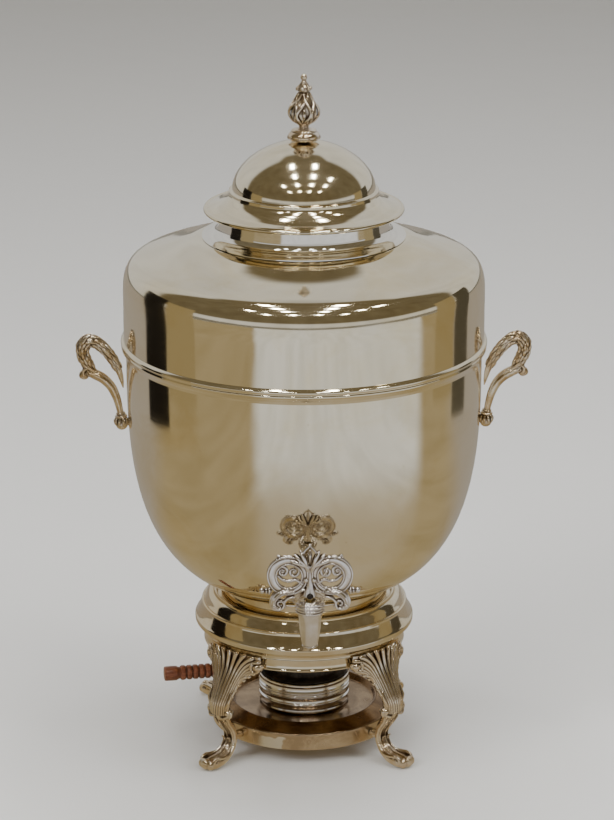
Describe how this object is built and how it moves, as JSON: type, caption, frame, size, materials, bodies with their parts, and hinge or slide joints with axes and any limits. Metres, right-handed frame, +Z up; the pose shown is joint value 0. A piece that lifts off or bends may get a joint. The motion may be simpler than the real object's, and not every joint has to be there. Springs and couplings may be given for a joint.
{
  "type": "coffee urn",
  "caption": "Silver-plated banquet coffee urn with a domed lid, scroll handles and a key tap, on a footed stand that holds an alcohol burner.",
  "frame": {"origin": "centre of the overall footprint box, on the surface that the four feet stand on; the urn's own axis is 15.9 mm behind it, at Y = +0.0159", "axes": "+Z up; -Y towards the tap, the front; +X towards the handle on the right as seen from the front"},
  "size_m": [0.375, 0.3328, 0.57],
  "materials": {
    "plated_silver": "mirror-polished silver plate with a warm tarnish",
    "cast_silver": "polished casting with dark patina in its recesses",
    "brass": "plain machined",
    "steel": "plain",
    "dark_iron": "blackened by heat",
    "wick_fibre": "matted mineral fibre",
    "gasket_rubber": "matte",
    "turned_wood": "stained and varnished"
  },
  "bodies": {
    "stand": {"stand_drum": "plated_silver", "stand_apron": "plated_silver", "burner_tray": "plated_silver", "leg_front_left": "cast_silver", "leg_front_right": "cast_silver", "leg_back_right": "cast_silver", "leg_back_left": "cast_silver", "leg_screw_front_left": "brass", "leg_screw_front_right": "brass", "leg_screw_back_right": "brass", "leg_screw_back_left": "brass", "tray_screw_front_left": "brass", "tray_screw_front_right": "brass", "tray_screw_back_right": "brass", "tray_screw_back_left": "brass"},
    "urn": {"urn_bowl": "plated_silver", "urn_shoulder": "plated_silver", "body_band": "plated_silver", "neck_ring": "plated_silver", "foot_ring": "plated_silver", "handle_left": "cast_silver", "handle_right": "cast_silver", "handle_washer_left": "steel", "handle_washer_right": "steel", "handle_nut_left": "brass", "handle_nut_right": "brass", "faucet_body": "cast_silver", "faucet_bonnet": "cast_silver", "faucet_gasket": "gasket_rubber", "faucet_wedge": "steel", "faucet_lock_nut": "brass"},
    "lid": {"lid_shell": "plated_silver", "lid_collar": "plated_silver", "finial": "cast_silver", "finial_nut": "brass", "finial_washer": "steel"},
    "tap_key": {"faucet_key": "cast_silver", "key_screw": "dark_iron", "faucet_plug": "brass"},
    "burner": {"burner_cup": "plated_silver", "burner_wick": "wick_fibre", "burner_top_plate": "dark_iron"},
    "regulator": {"regulator_ring": "dark_iron", "regulator_arm": "steel", "grip_ferrule": "brass", "wooden_grip": "turned_wood"}
  },
  "joints": [
    {"name": "urn_lift", "type": "slide", "parent": "stand", "child": "urn", "axis": [0, 0, 1], "range_m": [0, 0.15]},
    {"name": "lid_lift", "type": "slide", "parent": "urn", "child": "lid", "axis": [0, 0, 1], "range_m": [0, 0.1]},
    {"name": "key_turn", "type": "hinge", "parent": "urn", "child": "tap_key", "pos_m": [0, -0.1541, 0.18], "axis": [0, 0, 1], "range_deg": [0, 90]},
    {"name": "burner_lift", "type": "slide", "parent": "stand", "child": "burner", "axis": [0, 0, 1], "range_m": [0, 0.008]},
    {"name": "regulator_turn", "type": "hinge", "parent": "burner", "child": "regulator", "pos_m": [0, 0.0159, 0.056], "axis": [0, 0, 1], "range_deg": [-33, 15]}
  ]
}
